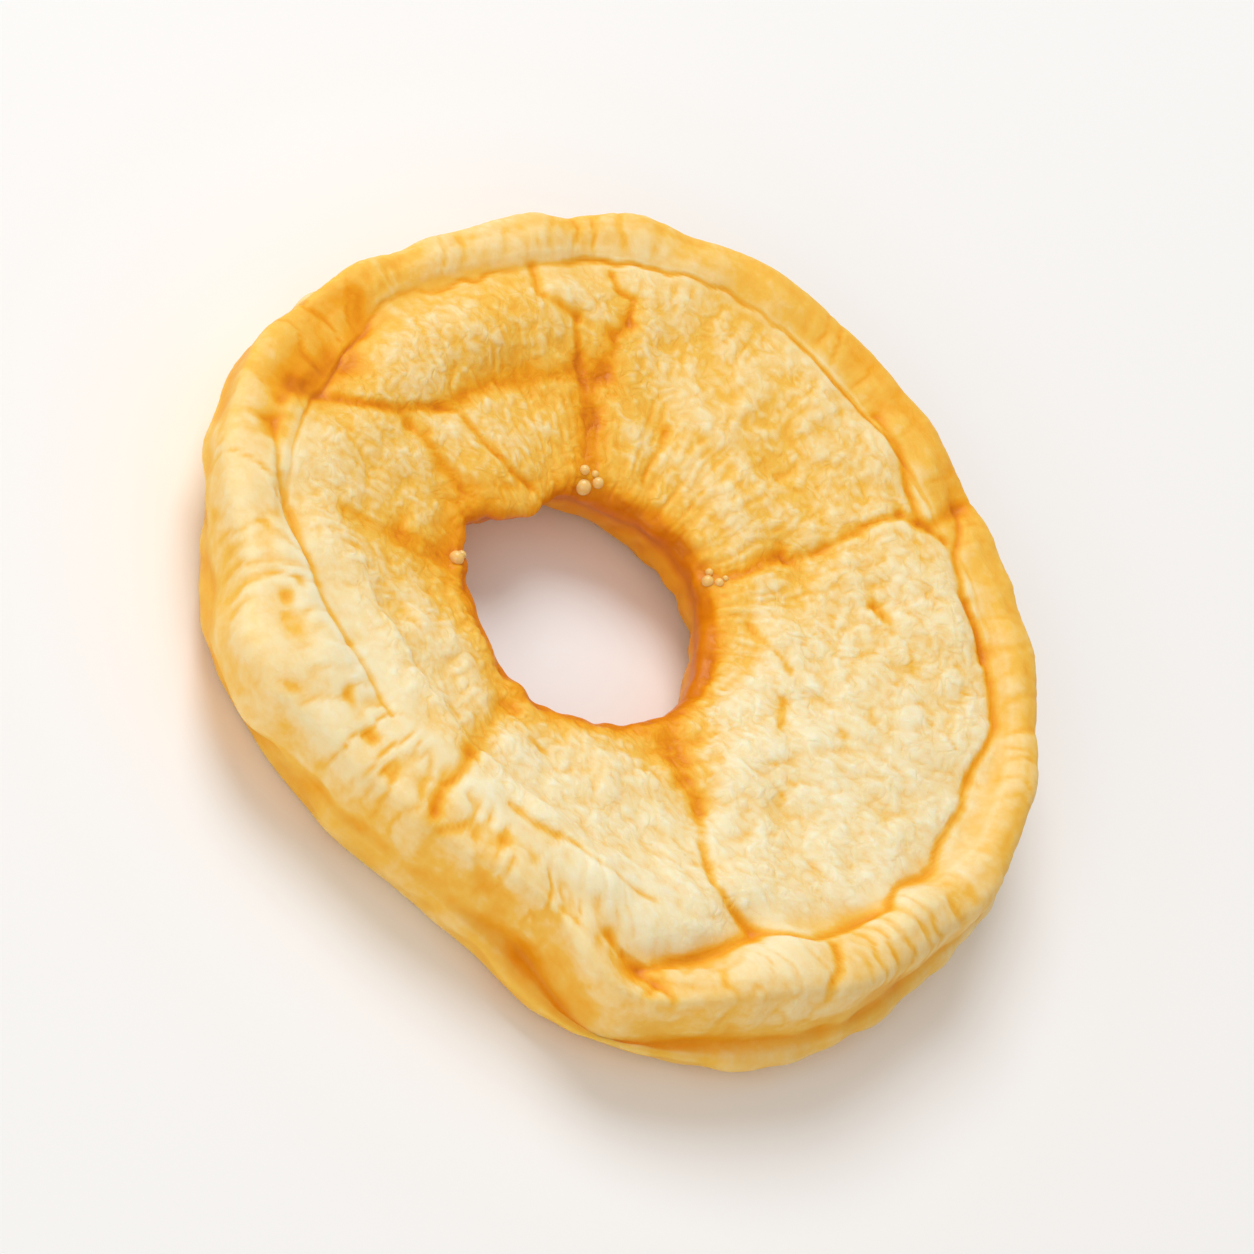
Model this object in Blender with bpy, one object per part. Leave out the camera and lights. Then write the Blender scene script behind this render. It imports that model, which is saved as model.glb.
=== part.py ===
# A dried apple ring: one cored, crosswise slice of a peeled apple, dried until its flesh shrank.
# The cut face has sunk and pulled into creases that run out from the core hole, the rim has
# puffed up round it, and the side has drawn in between an upper and a lower lip.
# The ring lies on its underside. Angles are in degrees from +X, seen from above.

import bpy
import numpy as np
from mathutils import Vector, noise

MM = 0.001

# Driving sizes
RING_RADIUS = 32.64 * MM
CORE_RADIUS = 9.6 * MM
CORE_CENTRE = (-3.0 * MM, -3.9 * MM)
RIM_WIDTH = 5.4 * MM
CREST_HEIGHT = 9.6 * MM
CREST_INSET = 2.6 * MM
FACE_HEIGHT = 8.2 * MM
SEAM_HEIGHT = 8.4 * MM
EDGE_AT_CORE = (4.0 * MM, 6.3 * MM)
UPPER_LIP_HEIGHT = 7.0 * MM
UPPER_LIP_SET_BACK = 0.8 * MM
SIDE_GROOVE_HEIGHT = 4.3 * MM
SIDE_GROOVE_DEPTH = 0.15 * MM
LOWER_LIP_HEIGHT = 2.3 * MM
REST_WIDTH = (2.8 * MM, 7.2 * MM)
UNDERSIDE_RISE = 0.7 * MM

# The mesh: steps round the ring, and round its section
RING_STEPS = 108
SECTION_STEPS = 54
TUBE_RADIUS = 10 * MM
REST_STEP = 44.2
REST_STEPS = 1.6

# The outline's departure from a circle: waves round the ring, size, angle of a crest
OUTLINE_WAVES = (
    (1, 1.01 * MM, -93),
    (2, 0.22 * MM, -24),
    (3, 0.95 * MM, -15),
    (4, 0.26 * MM, -44),
    (5, 0.37 * MM, 28),
    (6, 0.24 * MM, 9),
)

# Swells and dips round the ring: angle, spread, amount
OUTLINE_SWELLS = (
    (352, 10, -0.9 * MM),
)
LOWER_LIP_SWELLS = (
    (298, 7, 1.3 * MM),
    (203, 13, -0.6 * MM),
    (248, 10, -0.7 * MM),
)
CORE_SWELLS = (
    (230, 24, -0.6 * MM),
    (75, 20, 0.9 * MM),
    (320, 18, -0.4 * MM),
    (284, 14, 0.5 * MM),
    (164, 16, -2.5 * MM),
    (190, 10, 1.2 * MM),
)
UNDERCUT_SWELLS = (
    (165, 24, 2.4 * MM),
)
RIM_SWELLS = (
    (330, 12, 0.6 * MM),
    (43, 15, -1.5 * MM),
    (178, 14, -1.0 * MM),
    (216, 10, -1.7 * MM),
    (243, 12, 2.4 * MM),
    (265, 12, 0.8 * MM),
    (306, 9, -1.8 * MM),
    (329, 9, 1.9 * MM),
)
CREST_SWELLS = (
    (188, 6, -1.2 * MM),
    (90, 35, -0.7 * MM),
    (165, 15, -0.4 * MM),
    (40, 30, -0.3 * MM),
    (330, 14, 0.4 * MM),
    (225, 25, -0.3 * MM),
    (303, 9, -1.5 * MM),
    (207, 14, -0.5 * MM),
)
CREST_INSET_SWELLS = (
    (225, 22, -0.3 * MM),
    (268, 16, 2.2 * MM),
    (330, 20, 0.3 * MM),
)
SEAM_SWELLS = (
    (275, 18, 1.1 * MM),
    (90, 35, 0.4 * MM),
    (215, 18, 0.1 * MM),
    (306, 8, -0.4 * MM),
)
FACE_SWELLS = (
    (0, 40, 0.3 * MM),
    (150, 25, 0.2 * MM),
)
FACE_EDGE_SWELLS = (
    (163, 16, 0.6 * MM),
    (300, 14, 1.2 * MM),
)
SET_BACK_SWELLS = (
    (290, 6, 1.1 * MM),
    (20, 14, 1.1 * MM),
    (244, 6, -2.0 * MM),
    (272, 12, -0.6 * MM),
    (301, 6, -1.8 * MM),
    (325, 8, 0.8 * MM),
    (30, 40, -0.8 * MM),
    (205, 15, -2.2 * MM),
)
GROOVE_HEIGHT_SWELLS = (
    (90, 60, 0.9 * MM),
    (318, 16, -0.6 * MM),
    (301, 10, -1.2 * MM),
)

# Creases of the cut face: points along each, half width, depth
CREASES = (
    (((-9.6, 4.3), (-12.2, 8.0), (-15.4, 10.9), (-18.1, 13.2)), 1.3, 1.2),
    (((1.3, 5.6), (3.9, 11.7), (5.9, 14.5), (7.8, 21.9)), 1.2, 0.8),
    (((7.1, -7.7), (11.5, -10.5), (16.9, -16.3), (21.0, -16.5)), 1.2, 1.0),
    (((-2.1, -14.5), (-2.2, -19.6), (-1.3, -25.7), (-0.6, -30.2)), 1.2, 1.0),
    (((-12.0, -9.0), (-15.5, -12.5), (-19.5, -15.7)), 1.4, 1.0),
    (((-28.6, -10.5), (-24.3, -7.3), (-19.5, 0.5), (-15.2, 10.5)), 1.1, 0.8),
    (((-21.0, -5.1), (-14.7, -5.2)), 1.0, 0.6),
    (((-28.4, -12.7), (-27.5, -8.8), (-27.1, -4.7), (-28.2, -1.8)), 1.4, 0.5),
    (((-28.9, 1.4), (-26.0, 8.7), (-23.2, 16.0)), 1.2, 0.2),
    (((11.7, -25.5), (15.5, -26.4), (17.2, -26.0), (19.0, -22.9), (21.2, -16.9)), 1.1, 0.6),
)
HOLLOWS = (
    ((-18.0, 7.0), 6.5, 0.3),
    ((-13.0, -11.0), 4.0, 0.5),
    ((9.0, -13.0), 3.5, 0.4),
)

# The fold of the seam between face and rim: its depth, its spread in section steps, and where
# round the ring the share of that depth changes
SEAM_STEP = 23
SEAM_FOLD_DEPTH = 0.35 * MM
SEAM_FOLD_SPREAD = 1.0
SEAM_FOLD_SWELLS = (
    (268, 16, -0.8),
)

# Unevenness left by drying: lumps of the whole ring, and pleats across the rim
LUMP_SIZE = 7 * MM
LUMP_DEPTH = 0.55 * MM
PLEAT_SPACING = 4.5 * MM
PLEAT_DEPTH = 0.28 * MM


def around(angle, base, swells):
    """A size that swells or dips smoothly at some angles of the ring."""
    size = base + 0 * angle
    for at, spread, amount in swells:
        off = (angle - at + 180) % 360 - 180
        size = size + amount * np.exp(-0.5 * (off / spread) ** 2)
    return size


def outline_radius(angle):
    radius = around(angle, RING_RADIUS, OUTLINE_SWELLS)
    for waves, size, crest in OUTLINE_WAVES:
        radius = radius + size * np.cos(np.radians(waves * (angle - crest)))
    return radius


def section_stations(angle):
    """The points that the section passes, for each angle, from the core's wall over the face,
    the rim and the side to the underside: step, share of the way from the core's edge to the
    outline, distance added to that, height."""
    rim = around(angle, RIM_WIDTH, RIM_SWELLS)
    crest = around(angle, CREST_HEIGHT, CREST_SWELLS)
    inset = np.minimum(around(angle, CREST_INSET, CREST_INSET_SWELLS), 0.5 * rim)
    seam = around(angle, SEAM_HEIGHT, SEAM_SWELLS)
    face = around(angle, FACE_HEIGHT, FACE_SWELLS)
    face_edge = around(angle, 0.5 * (face + seam) + 0.25 * MM, FACE_EDGE_SWELLS)
    back = around(angle, UPPER_LIP_SET_BACK, SET_BACK_SWELLS)
    groove = around(angle, SIDE_GROOVE_HEIGHT, GROOVE_HEIGHT_SWELLS)
    lower = around(angle, 0, LOWER_LIP_SWELLS)
    undercut = around(angle, 0, UNDERCUT_SWELLS)
    wall, edge = EDGE_AT_CORE
    rest_outer, rest_inner = REST_WIDTH
    return (
        (0, 0, 0.6 * undercut - 0.1 * MM, wall + 0.6 * MM),
        (3, 0, 0.5 * MM, edge),
        (7, 0, 3.2 * MM, face - 0.9 * MM),
        (14, 0.45, 0, face),
        (20, 1, -rim - 2.6 * MM, face_edge),
        (SEAM_STEP, 1, -rim, seam),
        (25, 1, -0.6 * rim - 0.4 * inset, 0.3 * seam + 0.7 * crest),
        (28, 1, -inset, crest),
        (31, 1, -back - 0.1 * inset, 0.35 * crest + 0.65 * UPPER_LIP_HEIGHT + 0.5 * MM),
        (33, 1, -back - 0.1 * MM, 0.55 * UPPER_LIP_HEIGHT + 0.45 * groove),
        (35, 1, -back - SIDE_GROOVE_DEPTH, groove),
        (37, 1, 0.5 * lower - 0.25 * back, 0.5 * (groove + LOWER_LIP_HEIGHT) + 0.2 * MM),
        (39, 1, lower, LOWER_LIP_HEIGHT),
        (41, 1, 0.8 * lower - 0.9 * MM, 0.35 * LOWER_LIP_HEIGHT),
        (43, 1, -rest_outer, 0),
        (45.5, 1, -rest_inner, 0),
        (49, 0.4, 0, UNDERSIDE_RISE),
        (52, 0, undercut + 1.2 * MM, 1.7 * UNDERSIDE_RISE),
    )


def through_stations(steps, values, step):
    """A smooth closed curve through one value per station, read at each point's step."""
    count = len(steps)
    here = np.searchsorted(steps, step, side="right") - 1
    rows = np.arange(len(step))
    picked = [values[(here + shift) % count, rows] for shift in (-1, 0, 1, 2)]
    places = [steps[(here + shift) % count] for shift in (-1, 0, 1, 2)]
    places[0] = np.where(here < 1, places[0] - SECTION_STEPS, places[0])
    places[2] = np.where(here + 1 >= count, places[2] + SECTION_STEPS, places[2])
    places[3] = np.where(here + 2 >= count, places[3] + SECTION_STEPS, places[3])
    slopes = [(picked[k + 1] - picked[k]) / (places[k + 1] - places[k]) for k in range(3)]
    gaps = [places[k + 1] - places[k] for k in range(3)]
    start = (slopes[0] * gaps[1] + slopes[1] * gaps[0]) / (gaps[0] + gaps[1]) * gaps[1]
    end = (slopes[1] * gaps[2] + slopes[2] * gaps[1]) / (gaps[1] + gaps[2]) * gaps[1]
    u = (step - places[1]) / gaps[1]
    value = (2 * u**3 - 3 * u**2 + 1) * picked[1] + (3 * u**2 - 2 * u**3) * picked[2]
    return value + (u**3 - 2 * u**2 + u) * start + (u**3 - u**2) * end


def ring_surface(angle, step):
    """The plain ring's points, without creases, at these angles and section steps."""
    toward = np.stack([np.cos(np.radians(angle)), np.sin(np.radians(angle))], axis=1)
    core = np.array(CORE_CENTRE) + toward * around(angle, CORE_RADIUS, CORE_SWELLS)[:, None]
    outline = toward * outline_radius(angle)[:, None]
    length = np.linalg.norm(outline - core, axis=1)
    stations = section_stations(angle)
    steps = np.array([station[0] for station in stations], float)
    shares = np.stack([station[1] + station[2] / length for station in stations])
    heights = np.stack([station[3] + 0 * angle for station in stations])
    share = through_stations(steps, shares, step)
    height = np.maximum(through_stations(steps, heights, step), 0)
    return np.column_stack([core + (outline - core) * share[:, None], height])


def distance_to_path(places, path):
    """How far each place in plan is from a path of straight stretches."""
    nearest = np.full(len(places), np.inf)
    for start, end in zip(path[:-1], path[1:]):
        start, along = np.array(start) * MM, (np.array(end) - np.array(start)) * MM
        reach = np.clip((places - start) @ along / (along @ along), 0, 1)
        away = np.linalg.norm(places - start - reach[:, None] * along, axis=1)
        nearest = np.minimum(nearest, away)
    return nearest


def noise_at(places):
    """Smooth unevenness between -1 and 1, one unit across."""
    return np.array([noise.noise(Vector(place)) for place in places])


def relief(points, angle, step):
    """How deep each point sinks for creases, the seam at the rim, lumps and pleats."""
    places = points[:, :2]
    top = np.clip((step - 2) / 4, 0, 1) * np.clip((32 - step) / 3, 0, 1)
    depth = 0 * angle
    for path, half_width, deepest in CREASES:
        away = distance_to_path(places, path) / (half_width * MM)
        fold = 0.65 * np.exp(-(away**2)) + 0.35 * np.exp(-((away / 3) ** 2))
        depth = depth + deepest * MM * fold * top
    for centre, spread, deepest in HOLLOWS:
        away = np.linalg.norm(places - np.array(centre) * MM, axis=1) / (spread * MM)
        depth = depth + deepest * MM * np.exp(-0.5 * away**2) * top
    seam = around(angle, 1, SEAM_FOLD_SWELLS)
    seam = seam * np.exp(-(((step - SEAM_STEP) / SEAM_FOLD_SPREAD) ** 2))
    depth = depth + SEAM_FOLD_DEPTH * seam
    depth = depth + LUMP_DEPTH * noise_at(points / LUMP_SIZE)
    side = np.exp(-0.5 * ((step - 31) / 4.5) ** 2)
    round_rim = np.column_stack([np.cos(np.radians(angle)), np.sin(np.radians(angle))])
    across = np.column_stack([round_rim * RING_RADIUS / PLEAT_SPACING, step / 14])
    off_rest = np.clip((abs(step - REST_STEP) - REST_STEPS) / 3, 0, 1)
    return (depth + PLEAT_DEPTH * noise_at(across) * side) * off_rest


def matte_material(name, colour, roughness):
    material = bpy.data.materials.new(name)
    material.use_nodes = True
    shader = material.node_tree.nodes["Principled BSDF"]
    shader.inputs["Base Color"].default_value = (*colour, 1)
    shader.inputs["Roughness"].default_value = roughness
    shader.inputs["Metallic"].default_value = 0
    return material


def shape_ring(mesh):
    """Moves the points of a plain torus onto the ring's surface, then sinks the relief."""
    start = np.array([vertex.co for vertex in mesh.vertices])
    angle = np.degrees(np.arctan2(start[:, 1], start[:, 0])) % 360
    outward = np.hypot(start[:, 0], start[:, 1]) - RING_RADIUS
    turned = np.degrees(np.arctan2(start[:, 2], outward))
    step = (180 - turned) / 360 * SECTION_STEPS % SECTION_STEPS
    points = ring_surface(angle, step)
    mesh.vertices.foreach_set("co", points.ravel())
    mesh.update()
    normals = np.array([corner.vector for corner in mesh.vertex_normals])
    points = points - normals * relief(points, angle, step)[:, None]
    middle = (points.min(axis=0) + points.max(axis=0)) / 2
    points[:, :2] -= middle[:2]
    points[:, 2] = np.maximum(points[:, 2], 0)
    mesh.vertices.foreach_set("co", points.ravel())
    mesh.update()


for leftover in list(bpy.data.objects):
    bpy.data.objects.remove(leftover, do_unlink=True)

collection = bpy.data.collections.new("dried_apple_ring")
bpy.context.scene.collection.children.link(collection)

bpy.ops.mesh.primitive_torus_add(
    major_segments=RING_STEPS,
    minor_segments=SECTION_STEPS,
    major_radius=RING_RADIUS,
    minor_radius=TUBE_RADIUS,
)
ring = bpy.context.object
ring.name = "apple_ring"
ring.data.name = "apple_ring"
for owner in list(ring.users_collection):
    owner.objects.unlink(ring)
collection.objects.link(ring)
shape_ring(ring.data)
ring.data.shade_smooth()
ring.data.materials.append(matte_material("dried_apple_flesh", (0.93, 0.68, 0.33), 0.6))
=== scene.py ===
import math

import bmesh
import bpy
import numpy as np
from mathutils import Matrix, Vector, noise


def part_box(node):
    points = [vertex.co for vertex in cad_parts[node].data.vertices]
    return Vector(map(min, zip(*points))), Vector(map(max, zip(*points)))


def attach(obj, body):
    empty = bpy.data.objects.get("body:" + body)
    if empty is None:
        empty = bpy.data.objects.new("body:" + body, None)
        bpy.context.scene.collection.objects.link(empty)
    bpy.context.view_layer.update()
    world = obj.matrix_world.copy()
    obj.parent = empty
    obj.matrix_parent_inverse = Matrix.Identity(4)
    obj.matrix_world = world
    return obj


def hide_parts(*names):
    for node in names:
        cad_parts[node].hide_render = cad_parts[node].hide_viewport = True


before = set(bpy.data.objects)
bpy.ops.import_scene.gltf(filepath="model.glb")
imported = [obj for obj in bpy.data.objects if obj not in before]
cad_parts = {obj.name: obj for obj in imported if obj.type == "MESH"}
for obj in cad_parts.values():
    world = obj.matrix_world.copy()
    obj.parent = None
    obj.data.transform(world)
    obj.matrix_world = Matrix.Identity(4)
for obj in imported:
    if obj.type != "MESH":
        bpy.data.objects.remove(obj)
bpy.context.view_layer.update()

# The dried ring's form
# One crosswise slice of a peeled, cored apple. Drying shrank the flesh, so the cut face sank, the
# outer edge puffed up into a rim, and the side drew in between an upper and a lower lip. The form
# is a spun tube whose section passes through named heights that change round the ring. Angles are
# in degrees from +X, seen from above.
MM = 0.001
RING_RADIUS = 32.64 * MM
CORE_RADIUS = 9.6 * MM
CORE_CENTRE = (-3.0 * MM, -3.9 * MM)
RIM_WIDTH = 5.4 * MM
CREST_HEIGHT = 9.6 * MM
CREST_INSET = 2.6 * MM
FACE_HEIGHT = 8.2 * MM
SEAM_HEIGHT = 8.4 * MM
EDGE_AT_CORE = (4.0 * MM, 6.3 * MM)
UPPER_LIP_HEIGHT = 7.0 * MM
UPPER_LIP_SET_BACK = 0.8 * MM
SIDE_GROOVE_HEIGHT = 4.3 * MM
SIDE_GROOVE_DEPTH = 0.15 * MM
LOWER_LIP_HEIGHT = 2.3 * MM
REST_WIDTH = (2.8 * MM, 7.2 * MM)
UNDERSIDE_RISE = 0.7 * MM
OUTLINE_WAVES = (
    (1, 1.01 * MM, -93),
    (2, 0.22 * MM, -24),
    (3, 0.95 * MM, -15),
    (4, 0.26 * MM, -44),
    (5, 0.37 * MM, 28),
    (6, 0.24 * MM, 9),
)

# Swells and dips round the ring: angle, spread, amount
OUTLINE_SWELLS = (
    (352, 10, -0.9 * MM),
)
LOWER_LIP_SWELLS = (
    (298, 7, 1.3 * MM),
    (203, 13, -0.6 * MM),
    (248, 10, -0.7 * MM),
)
CORE_SWELLS = (
    (230, 24, -0.6 * MM),
    (75, 20, 0.9 * MM),
    (320, 18, -0.4 * MM),
    (284, 14, 0.5 * MM),
    (164, 16, -2.5 * MM),
    (190, 10, 1.2 * MM),
)
UNDERCUT_SWELLS = (
    (165, 24, 2.4 * MM),
)
RIM_SWELLS = (
    (330, 12, 0.6 * MM),
    (43, 15, -1.5 * MM),
    (178, 14, -1.0 * MM),
    (216, 10, -1.7 * MM),
    (243, 12, 2.4 * MM),
    (265, 12, 0.8 * MM),
    (306, 9, -1.8 * MM),
    (329, 9, 1.9 * MM),
)
CREST_SWELLS = (
    (188, 6, -1.2 * MM),
    (90, 35, -0.7 * MM),
    (165, 15, -0.4 * MM),
    (40, 30, -0.3 * MM),
    (330, 14, 0.4 * MM),
    (225, 25, -0.3 * MM),
    (303, 9, -1.5 * MM),
    (207, 14, -0.5 * MM),
)
CREST_INSET_SWELLS = (
    (225, 22, -0.3 * MM),
    (268, 16, 2.2 * MM),
    (330, 20, 0.3 * MM),
)
SEAM_SWELLS = (
    (275, 18, 1.1 * MM),
    (90, 35, 0.4 * MM),
    (215, 18, 0.1 * MM),
    (306, 8, -0.4 * MM),
)
FACE_SWELLS = (
    (0, 40, 0.3 * MM),
    (150, 25, 0.2 * MM),
)
FACE_EDGE_SWELLS = (
    (163, 16, 0.6 * MM),
    (300, 14, 1.2 * MM),
)
SET_BACK_SWELLS = (
    (290, 6, 1.1 * MM),
    (20, 14, 1.1 * MM),
    (244, 6, -2.0 * MM),
    (272, 12, -0.6 * MM),
    (301, 6, -1.8 * MM),
    (325, 8, 0.8 * MM),
    (30, 40, -0.8 * MM),
    (205, 15, -2.2 * MM),
)
GROOVE_HEIGHT_SWELLS = (
    (90, 60, 0.9 * MM),
    (318, 16, -0.6 * MM),
    (301, 10, -1.2 * MM),
)

# The section's steps, counted from the core's wall over the face, rim and side to the underside,
# and how much of the mesh each stretch gets
SECTION_STEPS = 54
STEP_MARKS = (0, 24, 42, 54)
MESH_MARKS = (0, 0.5, 0.86, 1)
SEAM_STEP = 23
CREST_STEP = 28
GROOVE_STEP = 35
LOWER_LIP_STEP = 39
REST_STEP = 44.2
REST_STEPS = 1.6
SPIN_STEPS = 155
CIRCLE_STEPS = 40
FINER = 4
MESH_ROUND = SPIN_STEPS * FINER
MESH_ACROSS = CIRCLE_STEPS * FINER
TUBE_RADIUS = 10 * MM


def bump_at(angle, at, spread):
    off = (angle - at + 180) % 360 - 180
    return np.exp(-0.5 * (off / spread) ** 2)


def around(angle, base, swells):
    """A size that swells or dips smoothly at some angles of the ring."""
    size = base + 0 * angle
    for at, spread, amount in swells:
        size = size + amount * bump_at(angle, at, spread)
    return size


def section_stations(angle):
    """The points that the section passes: step, share of the way from the core's edge to the
    outline, distance added to that, height."""
    rim = around(angle, RIM_WIDTH, RIM_SWELLS)
    crest = around(angle, CREST_HEIGHT, CREST_SWELLS)
    inset = np.minimum(around(angle, CREST_INSET, CREST_INSET_SWELLS), 0.5 * rim)
    seam = around(angle, SEAM_HEIGHT, SEAM_SWELLS)
    face = around(angle, FACE_HEIGHT, FACE_SWELLS)
    face_edge = around(angle, 0.5 * (face + seam) + 0.25 * MM, FACE_EDGE_SWELLS)
    back = around(angle, UPPER_LIP_SET_BACK, SET_BACK_SWELLS)
    groove = around(angle, SIDE_GROOVE_HEIGHT, GROOVE_HEIGHT_SWELLS)
    lower = around(angle, 0, LOWER_LIP_SWELLS)
    undercut = around(angle, 0, UNDERCUT_SWELLS)
    wall, edge = EDGE_AT_CORE
    rest_outer, rest_inner = REST_WIDTH
    return (
        (0, 0, 0.6 * undercut - 0.1 * MM, wall + 0.6 * MM),
        (3, 0, 0.5 * MM, edge),
        (7, 0, 3.2 * MM, face - 0.9 * MM),
        (14, 0.45, 0, face),
        (20, 1, -rim - 2.6 * MM, face_edge),
        (SEAM_STEP, 1, -rim, seam),
        (25, 1, -0.6 * rim - 0.4 * inset, 0.3 * seam + 0.7 * crest),
        (CREST_STEP, 1, -inset, crest),
        (31, 1, -back - 0.1 * inset, 0.35 * crest + 0.65 * UPPER_LIP_HEIGHT + 0.5 * MM),
        (33, 1, -back - 0.1 * MM, 0.55 * UPPER_LIP_HEIGHT + 0.45 * groove),
        (GROOVE_STEP, 1, -back - SIDE_GROOVE_DEPTH, groove),
        (37, 1, 0.5 * lower - 0.25 * back, 0.5 * (groove + LOWER_LIP_HEIGHT) + 0.2 * MM),
        (LOWER_LIP_STEP, 1, lower, LOWER_LIP_HEIGHT),
        (41, 1, 0.8 * lower - 0.9 * MM, 0.35 * LOWER_LIP_HEIGHT),
        (43, 1, -rest_outer, 0),
        (45.5, 1, -rest_inner, 0),
        (49, 0.4, 0, UNDERSIDE_RISE),
        (52, 0, undercut + 1.2 * MM, 1.7 * UNDERSIDE_RISE),
    )


def through_stations(steps, values, step):
    """A smooth closed curve through one value per station, read at each point's step."""
    count = len(steps)
    here = np.searchsorted(steps, step, side="right") - 1
    rows = np.arange(len(step))
    picked = [values[(here + shift) % count, rows] for shift in (-1, 0, 1, 2)]
    places = [steps[(here + shift) % count] for shift in (-1, 0, 1, 2)]
    places[0] = np.where(here < 1, places[0] - SECTION_STEPS, places[0])
    places[2] = np.where(here + 1 >= count, places[2] + SECTION_STEPS, places[2])
    places[3] = np.where(here + 2 >= count, places[3] + SECTION_STEPS, places[3])
    slopes = [(picked[k + 1] - picked[k]) / (places[k + 1] - places[k]) for k in range(3)]
    gaps = [places[k + 1] - places[k] for k in range(3)]
    start = (slopes[0] * gaps[1] + slopes[1] * gaps[0]) / (gaps[0] + gaps[1]) * gaps[1]
    end = (slopes[1] * gaps[2] + slopes[2] * gaps[1]) / (gaps[1] + gaps[2]) * gaps[1]
    u = (step - places[1]) / gaps[1]
    value = (2 * u**3 - 3 * u**2 + 1) * picked[1] + (3 * u**2 - 2 * u**3) * picked[2]
    return value + (u**3 - 2 * u**2 + u) * start + (u**3 - u**2) * end


def ring_surface(angle, step):
    """The plain ring's points, without creases, at these angles and section steps."""
    toward = np.stack([np.cos(np.radians(angle)), np.sin(np.radians(angle))], axis=1)
    core = np.array(CORE_CENTRE) + toward * around(angle, CORE_RADIUS, CORE_SWELLS)[:, None]
    radius = around(angle, RING_RADIUS, OUTLINE_SWELLS)
    for waves, size, crest in OUTLINE_WAVES:
        radius = radius + size * np.cos(np.radians(waves * (angle - crest)))
    outline = toward * radius[:, None]
    length = np.linalg.norm(outline - core, axis=1)
    stations = section_stations(angle)
    steps = np.array([station[0] for station in stations], float)
    shares = np.stack([station[1] + station[2] / length for station in stations])
    heights = np.stack([station[3] + 0 * angle for station in stations])
    share = through_stations(steps, shares, step)
    height = np.maximum(through_stations(steps, heights, step), 0)
    return np.column_stack([core + (outline - core) * share[:, None], height])


def read_points(mesh):
    flat = np.empty(len(mesh.vertices) * 3)
    mesh.vertices.foreach_get("co", flat)
    return flat.reshape(-1, 3)


def read_normals(mesh):
    flat = np.empty(len(mesh.vertices) * 3)
    mesh.vertex_normals.foreach_get("vector", flat)
    return flat.reshape(-1, 3)


def write_points(mesh, points):
    mesh.vertices.foreach_set("co", points.ravel())
    mesh.update()


ring_bm = bmesh.new()
bmesh.ops.create_circle(ring_bm, cap_ends=False, radius=TUBE_RADIUS, segments=CIRCLE_STEPS)
stand_up = Matrix.Translation((RING_RADIUS, 0, 0)) @ Matrix.Rotation(math.radians(90), 4, "X")
bmesh.ops.transform(ring_bm, matrix=stand_up, verts=ring_bm.verts)
bmesh.ops.spin(
    ring_bm,
    geom=ring_bm.verts[:] + ring_bm.edges[:],
    cent=(0, 0, 0),
    axis=(0, 0, 1),
    dvec=(0, 0, 0),
    angle=math.radians(360),
    steps=SPIN_STEPS,
    use_merge=True,
    use_duplicate=False,
)
bmesh.ops.subdivide_edges(ring_bm, edges=ring_bm.edges[:], cuts=FINER - 1, use_grid_fill=True)
bmesh.ops.recalc_face_normals(ring_bm, faces=ring_bm.faces)
ring_mesh = bpy.data.meshes.new("dried_ring")
ring_bm.to_mesh(ring_mesh)
ring_bm.free()
start = read_points(ring_mesh)
angle = np.degrees(np.arctan2(start[:, 1], start[:, 0])) % 360
outward = np.hypot(start[:, 0], start[:, 1]) - RING_RADIUS
turned = np.degrees(np.arctan2(start[:, 2], outward))
mesh_share = (180 - turned) / 360 % 1
step = np.interp(mesh_share, MESH_MARKS, STEP_MARKS)
points = ring_surface(angle, step)
write_points(ring_mesh, points)
normals = read_normals(ring_mesh)

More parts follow.
